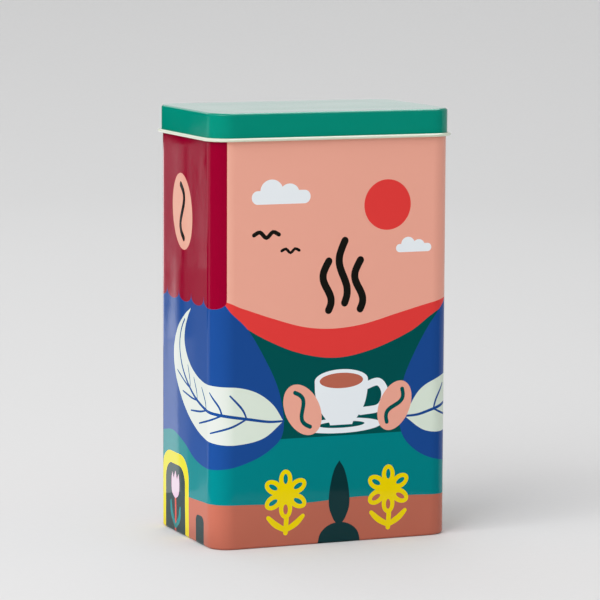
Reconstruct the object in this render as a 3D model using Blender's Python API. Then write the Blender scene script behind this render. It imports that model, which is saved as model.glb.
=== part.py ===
"""Rectangular slip-lid coffee tin: a folded tinplate wall, a recessed base panel
seamed inside its lower edge, and a drawn lid with an outward-rolled hem.

Frame: metres, +Z up, origin at the middle of the standing face.  The wide front
faces -Y, +X is to the right when looking at the front.
"""
import bpy
import bmesh
from math import cos, sin, pi, radians

MM = 0.001

# ---- driving dimensions (millimetres) ------------------------------------
BODY_W = 115.0          # outside width of the wall, along X
BODY_D = 74.5           # outside depth of the wall, along Y
CORNER_R = 9.6          # outside radius of the four upright corners
TIN_H = 195.0           # overall height with the lid on
SHEET = 0.30            # tinplate with its lacquer and print
GAP = 0.30              # running clearance between neighbouring sheets

LID_EDGE_R = 1.8        # radius between the lid's top panel and its skirt
LID_SKIRT = 11.1        # top face down to the top of the rolled hem
HEM_R = 0.9             # outside radius of the lid's rolled hem

RIM_R = 0.75            # outside radius of the wall's inward-rolled mouth
FOOT_R = 1.2            # radius where the wall turns in under the tin
FOOT_FLANGE = 4.2       # how far the turned-in edge reaches inwards

BASE_RISE = 3.6         # height of the base panel's underside
BASE_FLANGE = 3.4       # inner end of the base panel's seaming flange

LID_TRAVEL = 40.0       # how far the lid is lifted off

ARC_STEPS = 10          # segments in each upright corner

# ---- derived --------------------------------------------------------------
SKIRT_IN = GAP                      # inside of the lid skirt, outward from the wall
SKIRT_OUT = GAP + SHEET             # outside of the lid skirt
HEM_Z = TIN_H - LID_SKIRT - HEM_R   # centre height of the rolled hem
RIM_TOP = TIN_H - SHEET - GAP       # top of the wall's mouth


def ring(offset, height):
    """Rounded rectangle, `offset` outside the wall's outer face, at `height`."""
    radius = CORNER_R + offset
    hx = BODY_W / 2 - CORNER_R
    hy = BODY_D / 2 - CORNER_R
    pts = []
    for cx, cy, start in ((hx, -hy, -90), (hx, hy, 0), (-hx, hy, 90), (-hx, -hy, 180)):
        for k in range(ARC_STEPS + 1):
            a = radians(start + 90 * k / ARC_STEPS)
            pts.append(((cx + radius * cos(a)) * MM, (cy + radius * sin(a)) * MM, height * MM))
    return pts


def arc(cx, cz, radius, a0, a1, steps):
    """Points of a profile arc (offset, height), angles in degrees."""
    return [(cx + radius * cos(radians(a0 + (a1 - a0) * k / steps)),
             cz + radius * sin(radians(a0 + (a1 - a0) * k / steps))) for k in range(steps + 1)]


def sweep(bm, profile, closed):
    """Carry a profile of (offset, height) points round the tin's outline."""
    rings = [[bm.verts.new(p) for p in ring(o, z)] for o, z in profile]
    n = len(rings[0])
    last = len(rings) if closed else len(rings) - 1
    for i in range(last):
        a, b = rings[i], rings[(i + 1) % len(rings)]
        for j in range(n):
            bm.faces.new((a[j], b[j], b[(j + 1) % n], a[(j + 1) % n]))
    if not closed:
        bm.faces.new(rings[0])
        bm.faces.new(list(reversed(rings[-1])))


def material(name, colour, roughness, metallic):
    mat = bpy.data.materials.new(name)
    mat.use_nodes = True
    shader = mat.node_tree.nodes["Principled BSDF"]
    shader.inputs["Base Color"].default_value = (*colour, 1.0)
    shader.inputs["Roughness"].default_value = roughness
    shader.inputs["Metallic"].default_value = metallic
    mat.diffuse_color = (*colour, 1.0)
    return mat


def piece(name, profile, closed, mat, parent, bevel_sharp=35):
    mesh = bpy.data.meshes.new(name)
    bm = bmesh.new()
    sweep(bm, profile, closed)
    bmesh.ops.recalc_face_normals(bm, faces=bm.faces)
    bm.to_mesh(mesh)
    bm.free()
    mesh.materials.append(mat)
    mesh.shade_smooth()
    mesh.set_sharp_from_angle(angle=radians(bevel_sharp))
    obj = bpy.data.objects.new(name, mesh)
    bpy.context.scene.collection.objects.link(obj)
    obj.parent = parent
    # the outline is written in the tin's frame; the parent's place is taken off again
    for v in mesh.vertices:
        v.co -= parent.location
    return obj


for old in list(bpy.data.objects):
    bpy.data.objects.remove(old, do_unlink=True)

# ---- assembly frames -------------------------------------------------------
tin = bpy.data.objects.new("tin_frame", None)
bpy.context.scene.collection.objects.link(tin)

lid_frame = bpy.data.objects.new("lid_frame", None)   # on the lid's lift axis
lid_frame.location = (0.0, 0.0, RIM_TOP * MM)
bpy.context.scene.collection.objects.link(lid_frame)

green_lacquer = material("green_lacquer", (0.0, 0.27, 0.18), 0.22, 0.0)
printed_varnish = material("printed_varnish", (0.72, 0.35, 0.26), 0.32, 0.0)
bare_tinplate = material("bare_tinplate", (0.62, 0.62, 0.60), 0.35, 1.0)

# ---- wall: outside face, turned-in foot, inside face, rolled mouth ----------
wall = []
wall += [(0.0, RIM_TOP - RIM_R)]
wall += [(0.0, FOOT_R)]
wall += arc(-FOOT_R, FOOT_R, FOOT_R, 0, -90, 4)[1:]
wall += [(-FOOT_FLANGE, 0.0), (-FOOT_FLANGE, SHEET), (-FOOT_R, SHEET)]
wall += arc(-FOOT_R, FOOT_R, FOOT_R - SHEET, -90, 0, 4)[1:]
# inside of the wall up to the mouth, where the edge is rolled inwards
wall += [(-SHEET, RIM_TOP - 2 * RIM_R - 0.2)]
wall += arc(-RIM_R, RIM_TOP - RIM_R, RIM_R, 235, 0, 9)[:-1]
piece("body_wall", wall, True, printed_varnish, tin)

# ---- base panel: seaming flange, upright step, recessed panel ---------------
flange_out = -(SHEET + GAP + FOOT_R * 0.45)
base = [(-BASE_FLANGE - SHEET, BASE_RISE + SHEET)]
base += [(-BASE_FLANGE + 0.05, BASE_RISE + SHEET - 0.12), (-BASE_FLANGE + SHEET, BASE_RISE - SHEET)]
base += [(-BASE_FLANGE + SHEET, SHEET + GAP + SHEET)]
base += [(flange_out, SHEET + GAP + SHEET), (flange_out, SHEET + GAP)]
base += [(-BASE_FLANGE, SHEET + GAP), (-BASE_FLANGE, BASE_RISE - 2 * SHEET),
         (-BASE_FLANGE - SHEET, BASE_RISE)]
piece("base_panel", base, False, bare_tinplate, tin)

# ---- lid: top panel, rounded edge, skirt, rolled hem ------------------------
lid = arc(SKIRT_OUT - LID_EDGE_R, TIN_H - LID_EDGE_R, LID_EDGE_R, 90, 0, 5)
lid += [(SKIRT_OUT, HEM_Z + HEM_R * 0.86)]
lid += arc(SKIRT_OUT + HEM_R, HEM_Z, HEM_R, 120, -150, 12)
lid += [(SKIRT_IN, HEM_Z - HEM_R * 0.62)]
lid += arc(SKIRT_OUT - LID_EDGE_R, TIN_H - LID_EDGE_R, LID_EDGE_R - SHEET, 0, 90, 5)
piece("lid", lid, False, green_lacquer, lid_frame)
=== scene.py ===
"""Looks of the rectangular slip-lid coffee tin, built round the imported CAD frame.

The three sheets are rebuilt at their real 0.24 mm: the wall with its print, its rolled mouth,
turned-in foot and welded back seam; the lid with its outward curl; and the pressed base panel.
The print's flat inks are cut into the wall's mesh, so their edges stay sharp at any distance.
The picture on it is the builder's own generic landscape with a cup.
"""
import bpy
import bmesh
import numpy as np
from math import cos, sin, pi, radians, sqrt, atan2
from mathutils import Vector, Matrix
from mathutils.geometry import delaunay_2d_cdt


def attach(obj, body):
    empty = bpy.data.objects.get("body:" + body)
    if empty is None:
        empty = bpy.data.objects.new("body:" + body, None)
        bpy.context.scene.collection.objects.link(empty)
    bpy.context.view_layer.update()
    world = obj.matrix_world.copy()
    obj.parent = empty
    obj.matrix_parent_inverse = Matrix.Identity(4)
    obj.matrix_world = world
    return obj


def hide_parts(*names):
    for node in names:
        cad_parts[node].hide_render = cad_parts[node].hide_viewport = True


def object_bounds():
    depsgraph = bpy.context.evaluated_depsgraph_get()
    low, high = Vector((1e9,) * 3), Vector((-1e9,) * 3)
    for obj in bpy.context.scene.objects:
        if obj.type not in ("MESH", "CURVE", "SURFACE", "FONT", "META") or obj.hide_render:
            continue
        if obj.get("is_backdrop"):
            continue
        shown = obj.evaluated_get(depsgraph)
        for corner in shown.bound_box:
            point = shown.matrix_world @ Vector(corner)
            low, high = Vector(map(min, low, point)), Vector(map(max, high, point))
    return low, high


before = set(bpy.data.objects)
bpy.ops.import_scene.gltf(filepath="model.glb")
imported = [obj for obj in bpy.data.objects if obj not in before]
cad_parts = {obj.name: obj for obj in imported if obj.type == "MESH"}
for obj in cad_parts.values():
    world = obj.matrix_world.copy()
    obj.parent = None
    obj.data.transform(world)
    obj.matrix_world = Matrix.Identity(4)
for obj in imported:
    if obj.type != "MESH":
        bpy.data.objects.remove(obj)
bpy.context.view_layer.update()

MM = 0.001

# ---------------------------------------------------------------- sizes (mm)
W, D, R = 115.0, 74.5, 9.6           # the wall's outside
H = 195.0                            # closed height
T = 0.24                             # tinplate with its coats
RIM_R, RIM_TOP = 0.75, 194.4         # rolled mouth
FOOT_R, FOOT_IN = 1.2, 4.2           # turned-in foot
SEAM = 1.3                           # unprinted margin each side of the weld
FRONT, SIDE, ARC = W - 2 * R, D - 2 * R, pi * R / 2
AROUND = 2 * FRONT + 2 * SIDE + 4 * ARC
HALF = AROUND / 2                    # the back seam lies at u = +-HALF
C1 = FRONT / 2                       # u where the front's flat ends
C2 = C1 + ARC                        # u where the side's flat begins
C3 = C2 + SIDE
C4 = C3 + ARC                        # u where the back's flat begins


def srgb(r, g, b):
    """Linear colour of an sRGB triple out of 255."""
    out = []
    for c in (r, g, b):
        c /= 255.0
        out.append(c / 12.92 if c <= 0.04045 else ((c + 0.055) / 1.055) ** 2.4)
    return tuple(out)


# ---------------------------------------------------------------- the outline
def outline(u, o=0.0):
    """Points and outward normals of the rounded rectangle, u mm round it from the front's middle
    (to the right), o mm outside the wall.  Works on arrays."""
    u = np.mod(np.asarray(u, float), AROUND)
    o = np.broadcast_to(np.asarray(o, float), u.shape)
    x, y, nx, ny = (np.zeros_like(u) for _ in range(4))
    hx, hy = W / 2 - R, D / 2 - R
    legs = [(C1, "f", None), (ARC, "a", (hx, -hy, -90)), (SIDE, "r", None), (ARC, "a", (hx, hy, 0)),
            (FRONT, "b", None), (ARC, "a", (-hx, hy, 90)), (SIDE, "l", None),
            (ARC, "a", (-hx, -hy, 180)), (C1 + 1, "g", None)]
    acc = 0.0
    for length, kind, c in legs:
        m = (u >= acc - 1e-9) & (u < acc + length)
        s = u[m] - acc
        if kind == "f":
            x[m], y[m], nx[m], ny[m] = s, -D / 2, 0, -1
        elif kind == "g":
            x[m], y[m], nx[m], ny[m] = -hx + s, -D / 2, 0, -1
        elif kind == "r":
            x[m], y[m], nx[m], ny[m] = W / 2, -hy + s, 1, 0
        elif kind == "b":
            x[m], y[m], nx[m], ny[m] = hx - s, D / 2, 0, 1
        elif kind == "l":
            x[m], y[m], nx[m], ny[m] = -W / 2, hy - s, -1, 0
        else:
            t = np.radians(c[2] + 90 * s / ARC)
            nx[m], ny[m] = np.cos(t), np.sin(t)
            x[m], y[m] = c[0] + R * nx[m], c[1] + R * ny[m]
        acc += length
    return x + o * nx, y + o * ny, nx, ny


def bump01(s, lo, hi):
    """0 at both ends of [lo, hi], 1 in the middle, flat at the ends."""
    t = np.clip((s - lo) / (hi - lo), 0, 1)
    return np.sin(pi * t) ** 2


def panel_spring(u, v):
    """How far the sheet stands proud of flat (mm): each flat springs a little between its corners,
    with the slow ripples that folded tinplate keeps."""
    u = np.asarray(u, float)
    a = np.abs(u)
    tall = np.clip((v - 3) / 14.0, 0, 1) * np.clip((190 - v) / 12.0, 0, 1)
    tall = tall * tall * (3 - 2 * tall)
    out = np.zeros_like(a * v)
    out = out + (a < C1) * np.cos(pi * u / FRONT) ** 2 * (0.16 + 0.03 * np.sin(v / 31.0 + u / 23.0))
    side = (a > C2) & (a < C3)
    s = (a - C2) / SIDE
    out = out + side * (np.sin(pi * np.clip(s, 0, 1)) ** 2
                        * (0.15 + 0.040 * np.sin(v / 37.0 + 1.3)
                           + 0.030 * np.sin(2 * pi * s * 1.6 + v / 70.0 + np.sign(u) * 0.6)))
    back = a > C4
    sb = (a - C4) / (HALF - C4)
    out = out + back * (np.sin(pi * np.clip(sb, 0, 1)) ** 2 * (0.12 + 0.03 * np.sin(v / 29.0 + u / 17.0)))
    return out * tall


# ---------------------------------------------------------------- the wall's profile
V_FOOT = FOOT_R - FOOT_R * pi / 2            # where the foot's bend meets the flat rim
V_MIN = V_FOOT - (FOOT_IN - FOOT_R)          # the turned-in edge
V_RIM = RIM_TOP - RIM_R
RIM_TURN = radians(292)
V_MAX = V_RIM + RIM_R * RIM_TURN


def wall_profile(v):
    """(offset, height, normal's offset part, normal's height part) of the sheet's printed side."""
    v = np.asarray(v, float)
    o, z, no, nz = np.zeros_like(v), v.copy(), np.ones_like(v), np.zeros_like(v)
    m = v < V_FOOT
    o[m], z[m], no[m], nz[m] = -FOOT_R - (V_FOOT - v[m]), 0.0, 0.0, -1.0
    m = (v >= V_FOOT) & (v < FOOT_R)
    t = (FOOT_R - v[m]) / FOOT_R
    o[m], z[m] = -FOOT_R + FOOT_R * np.cos(t), FOOT_R - FOOT_R * np.sin(t)
    no[m], nz[m] = np.cos(t), -np.sin(t)
    m = v > V_RIM
    t = (v[m] - V_RIM) / RIM_R
    r = RIM_R - 0.028 * t                        # the roll tightens a little
    o[m], z[m] = -RIM_R + r * np.cos(t), V_RIM + r * np.sin(t)
    no[m], nz[m] = np.cos(t), np.sin(t)
    return o, z, no, nz


def wall_point(u, v, inwards=0.0):
    """World position (m) on the wall's sheet, `inwards` mm behind its printed side."""
    o, z, no, nz = wall_profile(v)
    o = o + panel_spring(u, v) - inwards * no
    # the weld along the back stands as a narrow ridge
    a = np.abs(np.asarray(u, float))
    o = o + 0.05 * np.clip(1 - np.abs(a - (HALF - 0.7)) / 0.35, 0, 1) * (np.asarray(v) > 1.2)
    z = z - inwards * nz
    x, y, _, _ = outline(u, o)
    return np.stack([x, y, z], -1) * MM


def surface_normals(point, u, v, flip=1.0, hu=0.05, hv=0.02):
    du = point(u + hu, v) - point(u - hu, v)
    dv = point(u, v + hv) - point(u, v - hv)
    n = np.cross(du, dv)
    n /= np.maximum(np.linalg.norm(n, axis=-1, keepdims=True), 1e-20)
    return n * flip


# ---------------------------------------------------------------- drawing helpers (mm)
def ellipse(cx, cy, rx, ry, tilt=0.0, n=None):
    n = n or max(24, int(2 * pi * max(rx, ry) / 0.8))
    t = np.arange(n) * 2 * pi / n
    c, s = cos(radians(tilt)), sin(radians(tilt))
    x, y = rx * np.cos(t), ry * np.sin(t)
    return np.stack([cx + x * c - y * s, cy + x * s + y * c], 1)


def smooth(points, closed=False, step=0.9):
    """Catmull-Rom curve through the points, sampled about every `step` mm."""
    p = np.array(points, float)
    if closed:
        q = np.vstack([p[-1], p, p[0], p[1]])
    else:
        q = np.vstack([2 * p[0] - p[1], p, 2 * p[-1] - p[-2]])
    out = []
    for i in range(len(q) - 3):
        a, b, c, d = q[i:i + 4]
        n = max(2, int(np.linalg.norm(c - b) / step))
        t = (np.arange(n) / n)[:, None]
        out.append(0.5 * (2 * b + (c - a) * t + (2 * a - 5 * b + 4 * c - d) * t ** 2
                          + (3 * b - a - 3 * c + d) * t ** 3))
    out = np.vstack(out)
    return out if closed else np.vstack([out, p[-1]])


def stroke(points, width, curve=True, taper=0.0):
    """A pen line with round ends; taper thins its ends."""
    p = smooth(points, step=0.8) if curve else np.array(points, float)
    d = np.gradient(p, axis=0)
    d /= np.linalg.norm(d, axis=1, keepdims=True)
    n = np.stack([-d[:, 1], d[:, 0]], 1)
    s = np.linspace(0, 1, len(p))
    r = width / 2 * (1 - taper * (2 * s - 1) ** 2)
    left, right = p + n * r[:, None], p - n * r[:, None]
    k = np.linspace(0, pi, 9)[1:-1]

    def cap(centre, direction, radius, start):
        a0 = atan2(start[1], start[0])
        return np.stack([centre[0] + radius * np.cos(a0 - k), centre[1] + radius * np.sin(a0 - k)], 1)
    return np.vstack([left, cap(p[-1], d[-1], r[-1], n[-1]), right[::-1], cap(p[0], -d[0], r[0], -n[0])])


def rounded_bar(x0, y0, x1, y1, r):
    pts = []
    for cx, cy, a in ((x1 - r, y1 - r, 0), (x0 + r, y1 - r, 90), (x0 + r, y0 + r, 180), (x1 - r, y0 + r, 270)):
        for k in range(9):
            t = radians(a + 90 * k / 8)
            pts.append((cx + r * cos(t), cy + r * sin(t)))
    return np.array(pts)


def mirrored(poly):
    return np.array(poly)[::-1] * [-1, 1]


ART = []            # (ink, polygon), later ones lie on top


def ink(name, poly):
    ART.append((name, np.array(poly, float)))


E = HALF + 2.0
TOP = V_RIM + 0.35


def band(name, top, bottom):
    """Area between two open curves that both run left to right."""
    ink(name, np.vstack([top, np.array(bottom)[::-1]]))


def flat(y):
    return np.array([(-E, y), (E, y)])


def around(points):
    """A wave that closes on itself at the back seam."""
    p = [(-E, points[0][1])] + list(points) + [(E, points[-1][1])]
    return smooth(p, step=1.4)


# -- sky, awnings ------------------------------------------------------------
ink("peach", [(-E, V_FOOT - 0.5), (E, V_FOOT - 0.5), (E, TOP), (-E, TOP)])

# -- teal meadow and terracotta ground ---------------------------------------
ink("teal", [(-E, V_FOOT - 0.5), (E, V_FOOT - 0.5), (E, 49.2), (-E, 49.2)])

# -- dark green valley between the hills, all the way round --------------------
ridge_middle = [(-E, 91.5), (-166, 93.5), (-150, 98.5), (-134, 105), (-118, 110), (-84, 111.5), (-60, 110.0),
                (-50, 106.4), (-35, 99.4), (-18, 93.6), (0, 91.0), (18, 93.4), (37, 98.8), (50, 105.0), (62, 108.6),
                (84, 111.5), (118, 110), (134, 105), (150, 98.5), (166, 93.5), (E, 91.5)]
ink("deep_green", [(-E, 48.9), (E, 48.9)] + ridge_middle[::-1])

# -- far red hills -------------------------------------------------------------
red_top = smooth([(-E, 98.2), (-168, 99.2), (-152, 103.6), (-136, 109), (-118, 112), (-84, 113), (-56, 112.2),
                  (-44, 108.3), (-30, 103.4), (-15, 99.0), (-1, 97.6), (14, 99.0), (30, 103.0), (46, 107.0),
                  (59, 109.6), (84, 113), (118, 112), (136, 109), (152, 103.6), (168, 99.2), (E, 98.2)], step=1.0)
red_low = smooth([(-E, 85.0), (-166, 87.6), (-150, 93.4), (-134, 102), (-118, 108), (-84, 110), (-60, 108.6),
                  (-50, 104.2), (-35, 95.0), (-18, 87.6), (0, 84.4), (18, 87.2), (37, 94.6), (50, 103.2),
                  (62, 107), (84, 110), (118, 108), (134, 102), (150, 93.4), (166, 87.6), (E, 85.0)], step=1.0)
band("red", red_top, red_low)

# -- blue hills over both front corners ------------------------------------------
blue_left = np.vstack([
    smooth([(-131.0, 106.5), (-138.6, 98.6), (-146.6, 86.0), (-153.2, 73.0), (-156.8, 60.0), (-156.0, 50.5),
            (-149.0, 45.4), (-137, 43.6), (-121.5, 45.0),
            (-107, 47.0), (-92, 43.6), (-78, 38.0), (-64, 36.0), (-50, 36.9), (-38, 40.4), (-30, 45.0),
            (-25.2, 50.5), (-24.6, 60.0), (-27.6, 73.0), (-33.8, 86.0), (-41.5, 98.6), (-49.6, 106.5)]),
    [(-53, 111), (-90, 116), (-128, 112)]])
ink("blue", blue_left)
blue_right = np.vstack([
    smooth([(131.0, 106.5), (139.0, 98.2), (146.0, 86.0), (151.6, 73.0), (155.6, 60.0), (155.0, 50.5),
            (148.0, 45.0), (136, 43.8), (118, 46.6),
            (100, 44.0), (84, 36.5), (70, 33.2), (58.8, 33.9), (47, 36.4), (38.5, 41.4), (33.2, 48.5),
            (31.4, 60.0), (34.0, 73.0), (38.8, 84.0), (45.6, 96.0), (51.5, 103.8)]),
    [(57, 108.6), (90, 114), (128, 112)]])
ink("blue", blue_right)

# -- crimson awnings over the two sides, with a scalloped edge --------------------


def awning(u0, u1, scallops, low, cusp):
    pts = [(u0, TOP), (u0, cusp)]
    w = (u1 - u0) / scallops
    for i in range(scallops):
        c = u0 + (i + 0.5) * w
        k = np.linspace(0, pi, 26)
        pts += [(c - abs(w) / 2 * np.sign(w) * cos(t) * 0.995, cusp - (cusp - low) * sin(t) ** 0.72) for t in k]
    pts += [(u1, cusp), (u1, TOP)]
    return np.array(pts)


ink("crimson", awning(-51.5, -129.7, 5, 108.0, 112.6))
ink("crimson", awning(62.98, 129.7, 4, 108.0, 112.6))


def coffee_bean(u, z, rx, ry, tilt, body="peach", crease="black", width=2.5):
    ink(body, ellipse(u, z, rx, ry, tilt))
    c, s = cos(radians(tilt)), sin(radians(tilt))
    line = []
    for t in np.linspace(-1, 1, 9):
        x = 0.30 * rx * sin(t * pi * 0.94)
        y = 0.70 * ry * t
        line.append((u + x * c - y * s, z + x * s + y * c))
    ink(crease, stroke(line, width))


coffee_bean(-94.0, 148.5, 12.4, 17.4, 12, width=2.9)
coffee_bean(93.0, 148.5, 12.4, 17.4, -12, width=2.9)

# -- pale coffee leaves that sweep round both front corners ---------------------------------


def leaf(edge_a, edge_b, veins=7, width=1.5):
    """A long leaf between two edges from its tip to its stalk, with a midrib and side veins."""
    a, b = smooth(edge_a), smooth(edge_b)
    ink("mint", np.vstack([a, b[::-1]]))
    n = 80

    def along(p):
        d = np.concatenate([[0], np.cumsum(np.linalg.norm(np.diff(p, axis=0), axis=1))])
        t = np.linspace(0, d[-1], n)
        return np.stack([np.interp(t, d, p[:, 0]), np.interp(t, d, p[:, 1])], 1)
    pa, pb = along(a), along(b)
    rib = (pa + pb) / 2
    ink("blue", stroke(rib[7:], width, curve=False, taper=0.35))
    for k in range(2, veins):                        # none near the tip, where the leaf is too narrow
        i = int(n * (0.24 + 0.66 * k / veins))
        for edge in (pa, pb):
            j = max(i - 9, 0)
            end = rib[j] * 0.30 + edge[j] * 0.70
            mid = (rib[i] * 0.55 + end * 0.45) + (rib[j] - rib[i]) * -0.10
            ink("blue", stroke([rib[i], mid, end], width * 0.66, taper=0.25))


leaf([(-83.0, 106.0), (-91.0, 102.0), (-100.0, 95.0), (-104.8, 85.0), (-103.0, 74.5), (-95.5, 64.5), (-85.0, 56.4),
      (-72.0, 50.7), (-58.0, 48.0), (-46.0, 47.4), (-34.0, 49.8), (-24.6, 57.0)],
     [(-83.0, 106.0), (-87.0, 101.5), (-90.6, 95.4), (-91.0, 89.0), (-86.6, 82.4), (-78.6, 77.4), (-68.0, 74.4),
      (-56.0, 73.6), (-46.0, 73.0), (-37.0, 70.2), (-29.6, 64.6), (-24.6, 57.0)])
leaf([(93.0, 107.0), (97.6, 102.0), (103.6, 96.0), (104.8, 87.0), (101.0, 76.0), (92.6, 65.4), (81.0, 56.8),
      (68.0, 50.6), (56.0, 48.0), (44.6, 49.0), (34.6, 56.0)],
     [(93.0, 107.0), (91.6, 101.0), (92.2, 94.8), (89.6, 88.4), (83.0, 82.0), (74.0, 77.6), (63.0, 75.2),
      (52.0, 73.0), (42.0, 67.6), (34.6, 56.0)])

# -- terracotta ground --------------------------------------------------------------
ground = around([(-150, 20.6), (-118, 18.6), (-86, 19.2), (-54, 20.3), (-16, 19.2), (12, 20.4), (39, 19.4),
                 (62, 18.8), (90, 20.2), (122, 19.0), (150, 20.6)])
band("terracotta", ground, flat(V_FOOT - 0.5))

# -- cup, saucer and the steam above them ---------------------------------------------
CU, CZ = 3.4, 74.0
ink("white", ellipse(CU + 0.2, 53.4, 19.5, 3.4))
ink("deep_green", ellipse(CU + 0.2, 53.9, 11.2, 1.5))
handle = smooth([(CU + 11.6, 70.8), (CU + 18.2, 72.4), (CU + 21.4, 67.2), (CU + 18.8, 60.8), (CU + 9.6, 59.4)])
ink("white", stroke(handle, 3.5, curve=False))
cup = np.vstack([
    [(CU - 13.0, CZ)],
    smooth([(CU - 13.0, CZ), (CU - 12.7, 68.4), (CU - 11.2, 62.4), (CU - 8.0, 57.2), (CU - 5.8, 55.0)]),
    [(CU - 5.4, 53.8), (CU + 5.4, 53.8)],
    smooth([(CU + 5.8, 55.0), (CU + 8.0, 57.2), (CU + 11.2, 62.4), (CU + 12.7, 68.4), (CU + 13.0, CZ)])])
ink("white", cup)
ink("white", ellipse(CU, CZ, 13.0, 5.0))
ink("terracotta", ellipse(CU, CZ - 0.1, 10.6, 3.5))
for du, lo, hi in ((-7.2, 106.0, 128.0), (0.6, 109.0, 137.0), (8.2, 106.0, 128.0)):
    span = hi - lo
    ink("black", stroke([(CU + du + 2.0 * sin(2 * pi * t + 0.4), lo + span * t) for t in np.linspace(0, 1, 9)],
                        3.5))

# -- beans on both sides of the cup ----------------------------------------------------
coffee_bean(-15.4, 61.6, 8.2, 12.4, 28, crease="deep_green", width=1.9)
coffee_bean(29.6, 61.2, 7.6, 11.8, -24, crease="deep_green", width=1.9)

# -- sun, clouds and gulls ---------------------------------------------------------------
ink("red", ellipse(25.5, 152.5, 11.4, 11.4))
ink("red", ellipse(-157.0, 157.0, 10.5, 10.5))
for cx, cz, k in ((-26.0, 158.0, 1.0), (38.5, 133.0, 0.62), (157.0, 160.0, 1.0), (-163.0, 134.0, 0.72)):
    ink("white", rounded_bar(cx - 14 * k, cz - 3.6 * k, cx + 14 * k, cz + 2.4 * k, 2.9 * k))
    ink("white", ellipse(cx - 4.5 * k, cz + 2.2 * k, 5.4 * k, 5.2 * k))
    ink("white", ellipse(cx + 4.0 * k, cz + 1.2 * k, 4.6 * k, 4.2 * k))


def gull(u, z, k):
    ink("black", stroke([(u - 7 * k, z + 1.6 * k), (u - 3.6 * k, z + 3.0 * k), (u, z), (u + 3.6 * k, z + 3.0 * k),
                         (u + 7 * k, z + 1.6 * k)], 2.2 * k))


gull(-33.0, 139.5, 0.85)
gull(-21.5, 132.5, 0.6)
gull(150.0, 138.0, 0.85)
gull(165.0, 129.0, 0.6)

# -- front: cypress, flowers ------------------------------------------------------------------
cy = smooth([(2.6, 37.6), (5.2, 33.2), (7.2, 25.0), (7.6, 17.0), (5.6, 11.2), (4.2, 9.2)], step=0.8)
ink("night_green", np.vstack([cy, np.array([(3.8, V_FOOT - 0.4), (1.4, V_FOOT - 0.4)]),
                              (np.array(cy[::-1]) * [-1, 1] + [5.2, 0])]))
mound = smooth([(-8.0, V_FOOT - 0.4), (-6.6, 4.6), (-2.6, 8.2), (2.6, 9.4), (7.8, 8.2), (11.8, 4.6),
                (13.2, V_FOOT - 0.4)])
ink("night_green", mound)


def daisy(u, z, k=1.0, petals=6, stem=True):
    """Line-drawn flower: looped petals round a disc, a stem and two leaves."""
    if stem:
        ink("yellow", stroke([(u, z), (u + 0.4 * k, z - 8 * k), (u, z - 16.0 * k)], 2.1 * k))
        for side in (-1, 1):
            ink("yellow", stroke([(u, z - 15.0 * k), (u + side * 4.4 * k, z - 12.4 * k),
                                  (u + side * 7.6 * k, z - 9.4 * k)], 2.5 * k, taper=0.3))
    for i in range(petals):
        t = radians(90 + 360 * i / petals)
        cx, cz = u + 6.0 * k * cos(t), z + 6.0 * k * sin(t)
        ink("yellow", ellipse(cx, cz, 4.2 * k, 2.9 * k, 90 + 360 * i / petals, n=30))
    for i in range(petals):
        t = radians(90 + 360 * i / petals)
        cx, cz = u + 6.3 * k * cos(t), z + 6.3 * k * sin(t)
        ink("teal" if cz > 19.8 else "terracotta", ellipse(cx, cz, 2.1 * k, 1.0 * k, 90 + 360 * i / petals, n=18))
    ink("yellow", ellipse(u, z, 2.6 * k, 2.6 * k))


daisy(-23.4, 23.8, 1.1)
daisy(26.8, 23.0, 1.1)
daisy(151.0, 23.6, 1.1)
daisy(-152.0, 23.6, 1.1)
coffee_bean(167.0, 63.0, 8.2, 12.4, 24, crease="deep_green", width=1.9)
coffee_bean(-168.0, 63.0, 8.2, 12.4, -24, crease="deep_green", width=1.9)


# -- sides: yellow arched window with a tulip, and a dark bush ------------------------------------
def arch(u, half, top, power=0.5):
    pts = [(u - half, V_FOOT - 0.4)]
    r = half * 0.62
    base = top - r
    for t in np.linspace(pi, pi / 2, 14):
        pts.append((u - half + r + r * cos(t), base + r * sin(t)))
    for t in np.linspace(pi / 2, 0, 14):
        pts.append((u + half - r + r * cos(t), base + r * sin(t)))
    pts.append((u + half, V_FOOT - 0.4))
    return np.array(pts)


def tulip(u, z, k=1.0):
    ink("coral", stroke([(u, z), (u + 0.3, z - 9 * k), (u - 0.2, z - 18 * k)], 1.9 * k))
    ink("teal", stroke([(u, z - 16.5 * k), (u - 4.6 * k, z - 11 * k), (u - 6.0 * k, z - 5.5 * k)], 2.9 * k, taper=0.45))
    ink("teal", stroke([(u, z - 16.5 * k), (u + 4.8 * k, z - 12 * k), (u + 6.2 * k, z - 7 * k)], 2.9 * k, taper=0.45))
    head = smooth([(u, z - 3.4 * k), (u + 4.3 * k, z - 1.0 * k), (u + 5.2 * k, z + 4.2 * k), (u + 4.2 * k, z + 8.6 * k)])
    head = np.vstack([head, [(u + 2.1 * k, z + 5.6 * k), (u, z + 9.6 * k), (u - 2.1 * k, z + 5.6 * k)],
                      (head[::-1] - [u, 0]) * [-1, 1] + [u, 0]])
    ink("pink", head)


for side in (-1, 1):
    au = side * 103.2
    ink("yellow", arch(au, 17.4, 37.0))
    ink("night_green", arch(au, 12.8, 31.6))
    tulip(au, 19.0, 1.0)
    ink("night_green", arch(side * 71.8, 5.0, 13.2))

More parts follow.
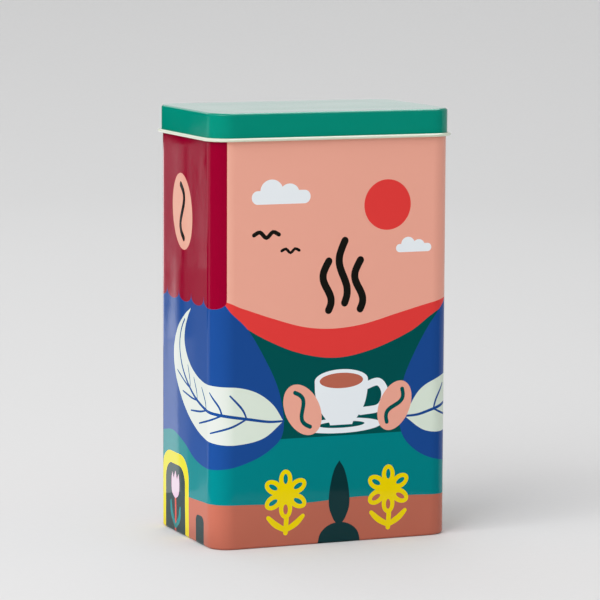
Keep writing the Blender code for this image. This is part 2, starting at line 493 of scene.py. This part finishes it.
# -- bare edges of the sheet: mouth, turned-in foot, weld margin ---------------------------------------
ink("bare", [(-E, V_MIN - 1), (E, V_MIN - 1), (E, V_FOOT - 0.35), (-E, V_FOOT - 0.35)])
ink("bare", [(-E, V_RIM - 1.6), (E, V_RIM - 1.6), (E, V_MAX + 1), (-E, V_MAX + 1)])
ink("bare", [(-E, V_MIN - 1), (-HALF + SEAM, V_MIN - 1), (-HALF + SEAM, V_MAX + 1), (-E, V_MAX + 1)])
ink("bare", [(E, V_MIN - 1), (HALF - SEAM, V_MIN - 1), (HALF - SEAM, V_MAX + 1), (E, V_MAX + 1)])

INKS = ["peach", "red", "crimson", "blue", "deep_green", "night_green", "mint", "teal", "terracotta", "yellow",
        "white", "black", "pink", "coral", "bare"]


# ---------------------------------------------------------------- mesh of the wall
def spread(a, b, n):
    return list(np.linspace(a, b, n + 1)[:-1])


def u_lines():
    half = spread(0, C1, 12) + spread(C1, C2, 16) + spread(C2, C3, 16) + spread(C3, C4, 16) + \
        list(np.linspace(C4, HALF, 13))
    half = np.array(half[:-1] + [HALF - SEAM, HALF])
    return np.concatenate([-half[:0:-1], half])


def v_lines():
    return np.array(spread(V_MIN, V_FOOT, 3) + spread(V_FOOT, FOOT_R, 6) + spread(FOOT_R, V_RIM, 46)
                    + list(np.linspace(V_RIM, V_MAX, 19)))


def inside_polygon(poly, pts):
    """Winding test, on arrays."""
    x, y = pts[:, 0], pts[:, 1]
    wind = np.zeros(len(pts), int)
    x1, y1 = poly[:, 0], poly[:, 1]
    x2, y2 = np.roll(x1, -1), np.roll(y1, -1)
    for a, b, c, d in zip(x1, y1, x2, y2):
        if b == d:
            continue
        cross = (c - a) * (y - b) - (x - a) * (d - b)
        wind += ((b <= y) & (d > y) & (cross > 0)).astype(int)
        wind -= ((b > y) & (d <= y) & (cross < 0)).astype(int)
    return wind != 0


def clip_box(poly, lo, hi):
    """Sutherland-Hodgman against the sheet's own rectangle."""
    def cut(p, axis, lim, keep_less):
        out = []
        for i in range(len(p)):
            a, b = p[i], p[(i + 1) % len(p)]
            ina = a[axis] <= lim if keep_less else a[axis] >= lim
            inb = b[axis] <= lim if keep_less else b[axis] >= lim
            if ina:
                out.append(a)
            if ina != inb:
                t = (lim - a[axis]) / (b[axis] - a[axis])
                out.append(a + (b - a) * t)
        return out
    p = [np.array(q) for q in poly]
    for axis, lim, less in ((0, lo[0], False), (0, hi[0], True), (1, lo[1], False), (1, hi[1], True)):
        if len(p) < 3:
            return None
        p = cut(p, axis, lim, less)
    return np.array(p) if len(p) >= 3 else None


us, vs = u_lines(), v_lines()
verts, edges = [], []


def add_chain(pts, closed):
    start = len(verts)
    verts.extend([(float(a), float(b)) for a, b in pts])
    n = len(pts)
    edges.extend([(start + i, start + (i + 1) % n) for i in range(n if closed else n - 1)])


for uu in us:
    add_chain([(uu, V_MIN), (uu, V_MAX)], False)
for vv in vs:
    add_chain([(-HALF, vv), (HALF, vv)], False)
shapes = []
for name, poly in ART:
    # only the bare edge strips reach the sheet's own borders
    gap = 0.0 if name == "bare" else 1.0
    p = clip_box(poly, (-HALF + gap, V_MIN + 0.3 * gap), (HALF - gap, V_MAX - 0.3 * gap))
    if p is None:
        continue
    keep = np.linalg.norm(p - np.roll(p, 1, axis=0), axis=1) > 1e-4
    p = p[keep]
    shapes.append((name, p))
    add_chain(p, True)

cv, ce, cf, *_ = delaunay_2d_cdt([Vector(v) for v in verts], edges, [], 0, 1e-4, False)
cv = np.array([(v.x, v.y) for v in cv])
cf = np.array([f[:3] for f in cf if len(f) == 3], int)
area = np.cross(cv[cf[:, 1]] - cv[cf[:, 0]], cv[cf[:, 2]] - cv[cf[:, 0]])
cf, area = cf[np.abs(area) > 1e-9], area[np.abs(area) > 1e-9]
cf[area < 0] = cf[area < 0][:, ::-1]
centres = cv[cf].mean(1)
slot_of = np.full(len(cf), INKS.index("bare"))
for name, p in shapes:
    lo, hi = p.min(0), p.max(0)
    near = np.where((centres >= lo).all(1) & (centres <= hi).all(1))[0]
    if len(near):
        hit = inside_polygon(p, centres[near])
        slot_of[near[hit]] = INKS.index(name)
print("print mesh", len(cv), "points", len(cf), "faces", flush=True)


# ---------------------------------------------------------------- mesh helpers
def finish_mesh(name, co, faces, slots, materials, corner_normals=None, sharp=None):
    mesh = bpy.data.meshes.new(name)
    mesh.from_pydata(co.tolist(), [], faces)
    for m in materials:
        mesh.materials.append(m)
    mesh.polygons.foreach_set("material_index", np.array(slots, np.int32))
    mesh.shade_smooth()
    if sharp is not None:
        mesh.set_sharp_from_angle(angle=radians(sharp))
    if mesh.validate(verbose=True):
        raise RuntimeError(name + " had faulty faces")
    if corner_normals is not None:
        mesh.normals_split_custom_set(corner_normals.tolist())
    mesh.update()
    obj = bpy.data.objects.new(name, mesh)
    bpy.context.scene.collection.objects.link(obj)
    return obj


def build_wall(materials, inside_slot):
    n_outer = len(cv)
    u, v = cv[:, 0].copy(), cv[:, 1].copy()
    u[np.abs(u + HALF) < 1e-4] = -HALF
    u[np.abs(u - HALF) < 1e-4] = HALF
    # the sheet's two upright edges meet at the back: right-hand points take the left-hand ones' place
    left = {round(float(b), 3): i for i, (a, b) in enumerate(zip(u, v)) if a == -HALF}
    remap = np.arange(n_outer)
    for i in np.where(u == HALF)[0]:
        remap[i] = left[round(float(v[i]), 3)]
    outer_pos = wall_point(u, v)
    outer_nor = surface_normals(wall_point, u, v)
    ug = us[:-1]
    gu, gv = np.meshgrid(ug, vs, indexing="ij")
    gu, gv = gu.ravel(), gv.ravel()
    inner_pos = wall_point(gu, gv, T)
    inner_nor = -surface_normals(lambda a, b: wall_point(a, b, T), gu, gv)
    nu, nv = len(ug), len(vs)

    def g(i, j):
        return n_outer + (i % nu) * nv + j
    faces, slots, nor = [], [], []
    tri = remap[cf]
    for f, s, raw in zip(tri.tolist(), slot_of.tolist(), cf.tolist()):
        faces.append(f)
        slots.append(s)
        nor.extend(outer_nor[raw])
    for i in range(nu):
        for j in range(nv - 1):
            q = (g(i, j), g(i, j + 1), g(i + 1, j + 1), g(i + 1, j))
            faces.append(q)
            slots.append(inside_slot)
            nor.extend(inner_nor[[k - n_outer for k in q]])
    co = np.vstack([outer_pos, inner_pos])
    bare = INKS.index("bare")
    for edge_v, j, up in ((V_MIN, 0, False), (V_MAX, nv - 1, True)):
        row = {round(float(a), 3): i for i, (a, b) in enumerate(zip(u, v)) if abs(b - edge_v) < 1e-4}
        for i in range(nu):
            a = row[round(float(us[i]), 3)]
            b = remap[row[round(float(us[i + 1]), 3)]]
            c, d = g(i + 1, j), g(i, j)
            q = (a, b, c, d) if up else (b, a, d, c)
            faces.append(q)
            slots.append(bare)
            e1, e2 = co[q[1]] - co[q[0]], co[q[3]] - co[q[0]]
            n = np.cross(e1, e2)
            n /= np.linalg.norm(n)
            nor.extend([n] * 4)
    used = np.unique(np.concatenate([np.array(f) for f in faces]))
    new = -np.ones(len(co), int)
    new[used] = np.arange(len(used))
    faces = [[int(new[k]) for k in f] for f in faces]
    return finish_mesh("printed_wall", co[used], faces, slots, materials, np.array(nor))


def arc(co, cz, r, a0, a1, n, skip_first=False):
    t = np.radians(np.linspace(a0, a1, n + 1))
    p = [(co + r * cos(k), cz + r * sin(k)) for k in t]
    return p[1:] if skip_first else p


def thick(path, t):
    """The same path moved t mm to its left."""
    p = np.array(path, float)
    d = np.gradient(p, axis=0)
    seg = np.diff(p, axis=0)
    seg /= np.linalg.norm(seg, axis=1, keepdims=True)
    d[0], d[-1] = seg[0], seg[-1]
    d[1:-1] = seg[1:] + seg[:-1]
    d /= np.linalg.norm(d, axis=1, keepdims=True)
    n = np.stack([-d[:, 1], d[:, 0]], 1)
    half = np.ones(len(p))
    half[1:-1] = np.sqrt((1 + (seg[1:] * seg[:-1]).sum(1)) / 2)
    return p + n * (t / np.maximum(half, 0.5))[:, None]


def outline_us(around_flats=24):
    half = spread(0, C1, around_flats // 2) + spread(C1, C2, 18) + spread(C2, C3, 16) + spread(C3, C4, 18) + \
        list(np.linspace(C4, HALF, around_flats // 2 + 1))
    half = np.array(half)
    return np.concatenate([-half[:0:-1], half])[:-1]


def cap_fill(ring_xy, step):
    """Triangles over the inside of a closed ring, with a grid of points inside it."""
    pts = [Vector(p) for p in ring_xy]
    n = len(pts)
    xs = np.arange(ring_xy[:, 0].min() + step * 0.6, ring_xy[:, 0].max() - step * 0.5, step)
    ys = np.arange(ring_xy[:, 1].min() + step * 0.6, ring_xy[:, 1].max() - step * 0.5, step)
    grid = np.array([(x, y) for x in xs for y in ys])
    ok = inside_polygon(ring_xy, grid)
    near = np.array([np.min(np.linalg.norm(ring_xy - q, axis=1)) for q in grid])
    grid = grid[ok & (near > step * 0.45)]
    pts += [Vector(p) for p in grid]
    out = delaunay_2d_cdt(pts, [(i, (i + 1) % n) for i in range(n)], [], 1, 1e-6, False)
    pos, tri = out[0], [list(f) for f in out[2]]
    if len(pos) != n + len(grid):
        raise RuntimeError("cap points were merged")
    return np.array([(p.x, p.y) for p in pos]), tri


def swept_sheet(name, path, t, materials, lower_slot=1, height=None, step=4.0, sharp=40):
    """A sheet of thickness t swept round the outline.  The path starts at the innermost ring of the
    face that gets slot 0 and ends at the sheet's cut edge; the panel inside the first ring is filled."""
    height = height or (lambda x, y: np.zeros_like(x))
    face_a = np.array(path, float)
    face_b = thick(path, t)
    uu = outline_us()
    n = len(uu)
    co, rings = [], []

    def add_ring(o, z):
        x, y, _, _ = outline(uu, np.full(n, o))
        start = sum(len(c) for c in co)
        co.append(np.stack([x, y, z + height(x, y)], 1))
        rings.append(start)
        return start
    ra = [add_ring(o, z) for o, z in face_a]
    rb = [add_ring(o, z) for o, z in face_b]
    faces, slots = [], []
    for a, b in zip(ra[:-1], ra[1:]):
        for i in range(n):
            j = (i + 1) % n
            faces.append((a + i, b + i, b + j, a + j))
            slots.append(0)
    for a, b in zip(rb[:-1], rb[1:]):
        for i in range(n):
            j = (i + 1) % n
            faces.append((a + i, a + j, b + j, b + i))
            slots.append(lower_slot)
    a, b = ra[-1], rb[-1]
    for i in range(n):
        j = (i + 1) % n
        faces.append((a + i, b + i, b + j, a + j))
        slots.append(lower_slot)
    for start, o, z, slot, flip in ((ra[0], face_a[0][0], face_a[0][1], 0, False),
                                    (rb[0], face_b[0][0], face_b[0][1], lower_slot, True)):
        x, y, _, _ = outline(uu, np.full(n, o))
        pos, tri = cap_fill(np.stack([x, y], 1), step)
        base = sum(len(c) for c in co)
        co.append(np.stack([pos[n:, 0], pos[n:, 1], z + height(pos[n:, 0], pos[n:, 1])], 1))
        ids = [start + k for k in range(n)] + [base + k for k in range(len(pos) - n)]
        for f in tri:
            q = [ids[k] for k in f]
            p = pos[f]
            ccw = np.cross(p[1] - p[0], p[2] - p[0]) > 0
            if ccw == flip:
                q = q[::-1]
            faces.append(tuple(q))
            slots.append(slot)
    co = np.vstack(co) * MM
    bm = bmesh.new()
    vv = [bm.verts.new(c) for c in co]
    layer = bm.faces.layers.int.new("slot")
    for f, s in zip(faces, slots):
        face = bm.faces.new([vv[k] for k in f])
        face[layer] = s
    bmesh.ops.recalc_face_normals(bm, faces=bm.faces)
    if bm.calc_volume(signed=True) < 0:
        bmesh.ops.reverse_faces(bm, faces=bm.faces)
    bm.faces.ensure_lookup_table()
    faces = [[v.index for v in f.verts] for f in bm.faces]
    slots = [f[layer] for f in bm.faces]
    bm.free()
    return finish_mesh(name, co, faces, slots, materials, sharp=sharp)


# ---------------------------------------------------------------- materials
class Nodes:
    """A small helper over a material's node tree."""

    def __init__(self, name):
        self.mat = bpy.data.materials.new(name)
        self.mat.use_nodes = True
        self.t = self.mat.node_tree
        self.bsdf = self.t.nodes["Principled BSDF"]
        self.coord = self.t.nodes.new("ShaderNodeTexCoord")

    def set(self, **kw):
        for k, v in kw.items():
            s = self.bsdf.inputs[k.replace("_", " ")]
            s.default_value = (*v, 1.0) if isinstance(v, tuple) and len(v) == 3 else v

    def link(self, a, b):
        self.t.links.new(a, b)

    def noise(self, scale, detail=2.0, rough=0.5, stretch=None, kind="fac"):
        n = self.t.nodes.new("ShaderNodeTexNoise")
        n.inputs["Scale"].default_value = scale
        n.inputs["Detail"].default_value = detail
        n.inputs["Roughness"].default_value = rough
        src = self.coord.outputs["Object"]
        if stretch:
            m = self.t.nodes.new("ShaderNodeMapping")
            m.inputs["Scale"].default_value = stretch
            self.link(src, m.inputs["Vector"])
            src = m.outputs["Vector"]
        self.link(src, n.inputs["Vector"])
        return n.outputs[0]

    def remap(self, src, a, b, lo, hi):
        m = self.t.nodes.new("ShaderNodeMapRange")
        m.inputs["From Min"].default_value, m.inputs["From Max"].default_value = a, b
        m.inputs["To Min"].default_value, m.inputs["To Max"].default_value = lo, hi
        self.link(src, m.inputs["Value"])
        return m.outputs["Result"]

    def math(self, op, a, b):
        m = self.t.nodes.new("ShaderNodeMath")
        m.operation = op
        for s, x in zip(m.inputs, (a, b)):
            if isinstance(x, (int, float)):
                s.default_value = x
            else:
                self.link(x, s)
        return m.outputs[0]

    def mix(self, fac, a, b):
        m = self.t.nodes.new("ShaderNodeMix")
        m.data_type = "RGBA"
        self.link(fac, m.inputs[0])
        for s, c in ((m.inputs[6], a), (m.inputs[7], b)):
            if isinstance(c, tuple):
                s.default_value = (*c, 1.0)
            else:
                self.link(c, s)
        return m.outputs[2]

    def bump(self, height, strength, distance, normal=None):
        b = self.t.nodes.new("ShaderNodeBump")
        b.inputs["Strength"].default_value = strength
        b.inputs["Distance"].default_value = distance
        self.link(height, b.inputs["Height"])
        if normal is not None:
            self.link(normal, b.inputs["Normal"])
        return b.outputs["Normal"]

    def to(self, socket, src):
        self.link(src, self.bsdf.inputs[socket])


def printed_ink(name, colour, rough=0.055, spec=0.13):
    """Litho ink under a satin varnish: flat colour, slightly uneven gloss and a fine orange peel."""
    n = Nodes("print_" + name)
    n.set(Base_Color=colour, Specular_IOR_Level=spec)
    cloud = n.noise(38.0, 3.0, 0.55)
    fine = n.noise(900.0, 2.0, 0.6)
    r = n.math("ADD", n.remap(cloud, 0.3, 0.7, rough - 0.02, rough + 0.03), n.remap(fine, 0.3, 0.7, -0.01, 0.01))
    n.to("Roughness", r)
    peel = n.noise(620.0, 2.0, 0.5)
    soft = n.noise(95.0, 1.0, 0.4)
    n1 = n.bump(soft, 0.2, 0.00006)
    n.to("Normal", n.bump(peel, 0.2, 0.000012, n1))
    return n.mat


def tinplate(name, colour, rough, grain=(40.0, 40.0, 1.6), strength=0.25):
    """Bright tinplate: rolling grain along the sheet, cloudy reflow, under a thin clear lacquer."""
    n = Nodes(name)
    n.set(Metallic=1.0)
    cloud = n.noise(55.0, 4.0, 0.6)
    lines = n.noise(60.0, 3.0, 0.65, stretch=grain)
    dark = tuple(c * 0.86 for c in colour)
    n.to("Base Color", n.mix(n.remap(n.math("ADD", n.math("MULTIPLY", cloud, 0.6), n.math("MULTIPLY", lines, 0.4)),
                                     0.35, 0.65, 0.0, 1.0), dark, colour))
    n.to("Roughness", n.math("ADD", n.remap(cloud, 0.3, 0.7, rough - 0.05, rough + 0.06),
                             n.remap(lines, 0.3, 0.7, -0.03, 0.04)))
    n.to("Normal", n.bump(lines, strength, 0.00004))
    return n.mat


def pigment(r, g, b, light=0.95, gloss=0.008):
    """Linear ink colour for a wanted sRGB look under this scene's light on the front."""
    return tuple(min(max((c - gloss) / light, 0.0), 0.9) for c in srgb(r, g, b))


PALETTE = {
    "peach": pigment(225, 160, 142), "red": pigment(214, 63, 61), "crimson": pigment(138, 13, 46),
    "blue": pigment(36, 73, 138), "deep_green": pigment(13, 79, 78), "night_green": pigment(26, 54, 57),
    "mint": pigment(208, 220, 206), "teal": pigment(3, 123, 127), "terracotta": pigment(176, 100, 82),
    "yellow": pigment(228, 203, 20), "white": pigment(223, 230, 236), "black": pigment(33, 33, 31),
    "pink": pigment(218, 176, 200), "coral": pigment(205, 76, 62),
}
wall_materials = [printed_ink(k, PALETTE[k]) for k in INKS if k != "bare"]
wall_materials.append(tinplate("bare_tinplate_edge", (0.74, 0.74, 0.72), 0.30))
wall_materials.append(tinplate("tinplate_inside", (0.88, 0.87, 0.83), 0.34))
wall = build_wall(wall_materials, len(INKS))
print("wall", len(wall.data.vertices), len(wall.data.polygons), flush=True)

# ---------------------------------------------------------------- lid
LID_OUT = 0.60                       # skirt's outer face, outward from the wall
EDGE_R = 1.25
CURL_R, CURL_Z = 0.95, 183.25
CURL_RISE = 0.80                     # the hem is a little flatter than round


def lid_height(x, y):
    """The pressed top panel isn't quite flat: a slow dish and ripple of a tenth of a millimetre."""
    ex = np.clip((W / 2 - 6 - np.abs(x)) / 18.0, 0, 1)
    ey = np.clip((D / 2 - 6 - np.abs(y)) / 14.0, 0, 1)
    k = (ex * ex * (3 - 2 * ex)) * (ey * ey * (3 - 2 * ey))
    return k * (-0.10 + 0.05 * np.sin(x / 19.0 + 0.6) * np.cos(y / 15.0))


lid_path = [(-8.0, H), (-6.0, H), (-4.0, H), (-2.6, H), (-1.7, H)]
lid_path += arc(LID_OUT - EDGE_R, H - EDGE_R, EDGE_R, 90, 0, 12)
lid_path += [(LID_OUT, H - EDGE_R - 0.5), (LID_OUT, 190.5), (LID_OUT, 187.0), (LID_OUT, 184.6), (LID_OUT, CURL_Z + 0.4)]
curl_o = LID_OUT - T + CURL_R
lid_path += [(curl_o + (CURL_R - T) * cos(t), CURL_Z + (CURL_RISE - T) * sin(t)) for t in np.radians(np.linspace(180, 488, 27))]


def lacquer(name, colour, rough, spec, wear=None):
    n = Nodes(name)
    n.set(Specular_IOR_Level=spec)
    cloud = n.noise(30.0, 3.0, 0.5)
    lo = tuple(c * 0.965 for c in colour)
    n.to("Base Color", n.mix(n.remap(cloud, 0.3, 0.7, 0.0, 1.0), lo, colour))
    fine = n.noise(800.0, 2.0, 0.6)
    n.to("Roughness", n.math("ADD", n.remap(cloud, 0.3, 0.7, rough - 0.03, rough + 0.04),
                             n.remap(fine, 0.3, 0.7, -0.02, 0.02)))
    peel = n.noise(560.0, 2.0, 0.5)
    soft = n.noise(80.0, 1.0, 0.4)
    n.to("Normal", n.bump(peel, 0.2, 0.000012, n.bump(soft, 0.2, 0.00006)))
    return n.mat


green = lacquer("lid_green_lacquer", pigment(1, 133, 114), 0.07, 0.25)
cream = lacquer("lid_cream_lacquer", pigment(208, 215, 194), 0.07, 1.0)
lid = swept_sheet("slip_lid", lid_path, -T, [green, cream], height=lid_height)
print("lid", len(lid.data.vertices), len(lid.data.polygons), flush=True)

# ---------------------------------------------------------------- base panel
base_path = [(-9.0, 3.6), (-8.7, 3.6), (-8.4, 3.6)]
base_path += [(-8.4 + 3.2 * k / 14, 3.6 - 0.75 * sin(pi * k / 14) ** 2) for k in range(1, 15)]
base_path += [(-4.9, 3.6)]
base_path += arc(-4.3, 2.7, 0.9, 90, 0, 6)
base_path += [(-3.4, 1.8)]
base_path += arc(-2.85, 0.27 + 0.55, 0.55, 180, 270, 5)
base_path += [(-2.0, 0.27), (-1.25, 0.27)]
base_under = tinplate("tinplate_base", (0.76, 0.76, 0.74), 0.30, grain=(40.0, 1.6, 40.0))
base_inner = tinplate("tinplate_base_inside", (0.78, 0.76, 0.70), 0.34, grain=(40.0, 1.6, 40.0))


def base_height(x, y):
    ex = np.clip((W / 2 - 10 - np.abs(x)) / 16.0, 0, 1)
    ey = np.clip((D / 2 - 10 - np.abs(y)) / 14.0, 0, 1)
    return 0.25 * (ex * ex * (3 - 2 * ex)) * (ey * ey * (3 - 2 * ey))


base = swept_sheet("pressed_base", base_path, T, [base_under, base_inner], height=base_height)
print("base", len(base.data.vertices), len(base.data.polygons), flush=True)

# ---------------------------------------------------------------- frame ties
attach(wall, "tin")
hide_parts("body_wall")
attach(base, "tin")
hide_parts("base_panel")
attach(lid, "lid")
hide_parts("lid")

# ---------------------------------------------------------------- floor and backdrop
FLOOR_HI = (0.756, 0.756, 0.758)
FLOOR_LO = (0.742, 0.742, 0.744)


def sweep_backdrop():
    """A pale seamless sweep: flat floor that turns up smoothly all round, far outside the tin."""
    prof = [(0.0, 0.0), (0.25, 0.0), (0.6, 0.0), (1.1, 0.0), (1.6, 0.0)]
    prof += [(1.6 + 2.0 * sin(t), 2.0 - 2.0 * cos(t)) for t in np.linspace(0, radians(66), 25)[1:]]
    n = 96
    co, faces = [(0.0, 0.0, 0.0)], []
    for r, z in prof[1:]:
        co += [(r * cos(2 * pi * k / n), r * sin(2 * pi * k / n), z) for k in range(n)]
    for k in range(n):
        faces.append((0, 1 + k, 1 + (k + 1) % n))
    for i in range(len(prof) - 2):
        a, b = 1 + i * n, 1 + (i + 1) * n
        for k in range(n):
            j = (k + 1) % n
            faces.append((a + k, b + k, b + j, a + j))
    mesh = bpy.data.meshes.new("seamless_floor")
    mesh.from_pydata(co, [], faces)
    mesh.shade_smooth()
    o = bpy.data.objects.new("seamless_floor", mesh)
    bpy.context.scene.collection.objects.link(o)
    n = Nodes("pale_paper")
    n.set(Specular_IOR_Level=0.0, Roughness=0.9)
    grain = n.noise(300.0, 4.0, 0.6)
    n.to("Base Color", n.mix(n.remap(grain, 0.3, 0.7, 0.0, 1.0), FLOOR_LO, FLOOR_HI))
    mesh.materials.append(n.mat)
    o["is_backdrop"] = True
    return o


floor = sweep_backdrop()

# ---------------------------------------------------------------- camera
AZ, EL, ROLL = radians(-22.379), radians(7.0474), radians(0.2427)
DIST, LENS = 1.5235, 199.66
back = Vector((sin(AZ) * cos(EL), -cos(AZ) * cos(EL), sin(EL)))
right = Vector((cos(AZ), sin(AZ), 0.0))
up = back.cross(right)
right2 = cos(ROLL) * right + sin(ROLL) * up
up2 = -sin(ROLL) * right + cos(ROLL) * up
cam_data = bpy.data.cameras.new("camera")
cam_data.lens, cam_data.sensor_width, cam_data.sensor_fit = LENS, 36.0, "HORIZONTAL"
cam_data.clip_start, cam_data.clip_end = 0.05, 40.0
camera = bpy.data.objects.new("camera", cam_data)
bpy.context.scene.collection.objects.link(camera)
m = Matrix((right2, up2, back)).transposed().to_4x4()
m.translation = Vector((0, 0, 0.10611)) + back * DIST - right * 0.001363
camera.matrix_world = m
bpy.context.scene.camera = camera


# ---------------------------------------------------------------- light
def softbox(name, azimuth, elevation, distance, width, height, watts, aim=(0, 0, 0.10), spread_deg=180, colour=(1, 1, 1)):
    a, e = radians(azimuth), radians(elevation)
    d = Vector((sin(a) * cos(e), -cos(a) * cos(e), sin(e)))
    data = bpy.data.lights.new(name, "AREA")
    data.shape, data.size, data.size_y = "RECTANGLE", width, height
    data.energy, data.color, data.spread = watts, colour, radians(spread_deg)
    o = bpy.data.objects.new(name, data)
    o.location = Vector(aim) + d * distance
    o.rotation_mode = "QUATERNION"
    o.rotation_quaternion = (-d).to_track_quat("-Z", "Y")
    o.visible_camera = False
    bpy.context.scene.collection.objects.link(o)
    return o


softbox("key_main", -60, 38, 2.2, 1.4, 1.4, 18.0)
softbox("key_front", -35, 20, 2.2, 1.4, 1.4, 7.2)
softbox("side_high", -85, 60, 2.2, 1.4, 1.4, 3.7).visible_glossy = False
softbox("side_small", -85, 30, 2.2, 0.7, 0.7, 7.5).visible_glossy = False
softbox("back_soft", 170, 45, 2.2, 1.6, 1.6, 8.0)
softbox("right_fill", 75, 25, 2.2, 0.9, 0.9, 0.8)


def floor_bounce(name, x, y, width, depth, watts):
    """Light coming up off the paper close beside the tin, strongest low on the wall."""
    data = bpy.data.lights.new(name, "AREA")
    data.shape, data.size, data.size_y, data.energy = "RECTANGLE", width, depth, watts
    o = bpy.data.objects.new(name, data)
    o.location, o.rotation_euler = (x, y, 0.003), (pi, 0.0, 0.0)
    o.visible_camera = o.visible_glossy = False
    bpy.context.scene.collection.objects.link(o)


floor_bounce("bounce_left", -0.125, -0.035, 0.115, 0.20, 0.075)


def reflection_card(name, corners, radiance):
    """A studio card or flag that only shows in reflections: radiance 0 is a black flag."""
    mesh = bpy.data.meshes.new(name)
    mesh.from_pydata(corners, [], [tuple(range(len(corners)))])
    o = bpy.data.objects.new(name, mesh)
    bpy.context.scene.collection.objects.link(o)
    mat = bpy.data.materials.new(name)
    mat.use_nodes = True
    t = mat.node_tree
    t.nodes.clear()
    em = t.nodes.new("ShaderNodeEmission")
    em.inputs["Color"].default_value = (1, 1, 1, 1)
    em.inputs["Strength"].default_value = radiance
    out = t.nodes.new("ShaderNodeOutputMaterial")
    t.links.new(em.outputs[0], out.inputs[0])
    mesh.materials.append(mat)
    o.visible_camera = o.visible_diffuse = o.visible_shadow = False
    o.visible_transmission = o.visible_volume_scatter = False
    o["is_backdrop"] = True
    return o


def upright(x0, x1, y, z0, z1):
    return [(x0, y, z0), (x1, y, z0), (x1, y, z1), (x0, y, z1)]


def floor_sector(a0, a1, r0, r1, z):
    """Outline of a flat ring sector; azimuth 0 is in front, positive to the right."""
    t = np.radians(np.linspace(a0, a1, 24))
    p = [(r1 * sin(k), -r1 * cos(k), z) for k in t] + [(r0 * sin(k), -r0 * cos(k), z) for k in t[::-1]]
    return p


reflection_card("card_over_lid", upright(-0.4, 3.0, 2.0, 0.20, 0.70), 0.84)
reflection_card("card_top", [(0.1, -1.1, 2.2), (1.8, -1.1, 2.2), (1.8, 2.2, 2.2), (0.1, 2.2, 2.2)], 7.0)
reflection_card("card_back_high", upright(-1.2, 0.5, 2.4, 0.75, 1.7), 1.3)
reflection_card("flag_far_left", upright(-1.4, -0.05, 1.02, 0.100, 0.5), 0.0)


def ray_x(slope, y):
    """x, at depth y, of what the left side's panel mirrors to the camera; slope is the ray's dx/dy."""
    return -W / 2 * MM - slope * y


def mirrored_upright(s0, s1, y, z0, z1):
    return upright(ray_x(s1, y), ray_x(s0, y), y, z0, z1)


def mirrored_floor(s0, s1, y0, y1, z):
    return [(ray_x(s0, y0), y0, z), (ray_x(s1, y0), y0, z), (ray_x(s1, y1), y1, z), (ray_x(s0, y1), y1, z)]


reflection_card("bright_upright", [(ray_x(0.0, 1.0), 1.0, 0.0), (ray_x(0.339, 1.0), 1.0, 0.0), (ray_x(0.317, 1.0), 1.0, 0.100),
                                   (ray_x(0.0, 1.0), 1.0, 0.100)], 3.0)
reflection_card("grey_upright", mirrored_upright(0.300, 0.376, 1.002, 0.0, 0.100), 0.45)
reflection_card("flag_upright", [(ray_x(0.366, 1.0), 1.0, 0.0), (ray_x(0.387, 1.0), 1.0, 0.0), (ray_x(0.397, 1.0), 1.0, 0.100),
                                 (ray_x(0.376, 1.0), 1.0, 0.100)], 0.0)
reflection_card("card_upright", [(ray_x(0.390, 1.0), 1.0, 0.024), (ray_x(0.450, 1.0), 1.0, 0.024), (ray_x(0.450, 1.0), 1.0, 0.100),
                                 (ray_x(0.398, 1.0), 1.0, 0.100)], 0.90)
reflection_card("grey_floor_rear", mirrored_floor(0.20, 0.46, 0.62, 0.99, 0.0015), 0.32)
reflection_card("bright_floor_rear", [(ray_x(0.0, 0.62), 0.62, 0.0020), (ray_x(0.347, 0.62), 0.62, 0.0020),
                                      (ray_x(0.340, 0.99), 0.99, 0.0020), (ray_x(0.0, 0.99), 0.99, 0.0020)], 2.2)
reflection_card("flag_floor_narrow", mirrored_floor(0.359, 0.383, 0.62, 0.99, 0.0020), 0.0)
reflection_card("flag_floor_corner", [(-0.33, 0.62, 0.002), (-0.60, 0.62, 0.002), (-1.0, 1.15, 0.002),
                                      (-0.52, 1.15, 0.002)], 0.0)
reflection_card("bright_floor_near", mirrored_floor(0.20, 0.346, 0.10, 0.62, 0.0015), 1.8)
reflection_card("mid_floor_near", mirrored_floor(0.346, 0.384, 0.10, 0.62, 0.0015), 0.70)
reflection_card("dim_floor_near", mirrored_floor(0.384, 0.47, 0.10, 0.62, 0.0015), 0.30)
reflection_card("grey_floor_front", floor_sector(-122, 75, 0.16, 1.55, 0.001), 0.12)
ring_floor = floor_sector(-122, 75, 1.55, 1.55, 0.001)[:24]
for k, (p, q) in enumerate(zip(ring_floor[:-1], ring_floor[1:])):
    reflection_card("grey_wall_front_%02d" % k, [p, q, (q[0], q[1], 0.6), (p[0], p[1], 0.6)], 0.10)
world = bpy.data.worlds.new("studio")
world.use_nodes = True
world.node_tree.nodes["Background"].inputs[0].default_value = (1.0, 1.0, 1.0, 1.0)
world.node_tree.nodes["Background"].inputs[1].default_value = 0.606
bpy.context.scene.world = world
bpy.context.scene.view_settings.view_transform = "Standard"
bpy.context.scene.view_settings.look = "None"


def soft_shoulder(view, start=0.68, white=0.96, top=2.4):
    """A film-like shoulder: tones under start stay as they are, brighter ones ease towards white."""
    view.use_curve_mapping = True
    curve = view.curve_mapping
    curve.use_clip = True
    curve.clip_min_x, curve.clip_min_y, curve.clip_max_x, curve.clip_max_y = 0.0, 0.0, top, 1.0
    line = curve.curves[3]
    pts = [(0.0, 0.0), (0.34, 0.34), (start, start)]
    pts += [(x, start + (white - start) * (1.0 - np.exp(-(x - start) / (white - start)))) for x in (0.76, 0.85, 0.95, 1.1, 1.3, 1.6, top)]
    line.points[0].location, line.points[-1].location = pts[0], pts[-1]
    for q in pts[1:-1]:
        line.points.new(*q)
    for q in line.points:
        q.handle_type = "AUTO_CLAMPED"
    curve.update()


soft_shoulder(bpy.context.scene.view_settings)

bpy.context.view_layer.update()
lo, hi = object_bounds()
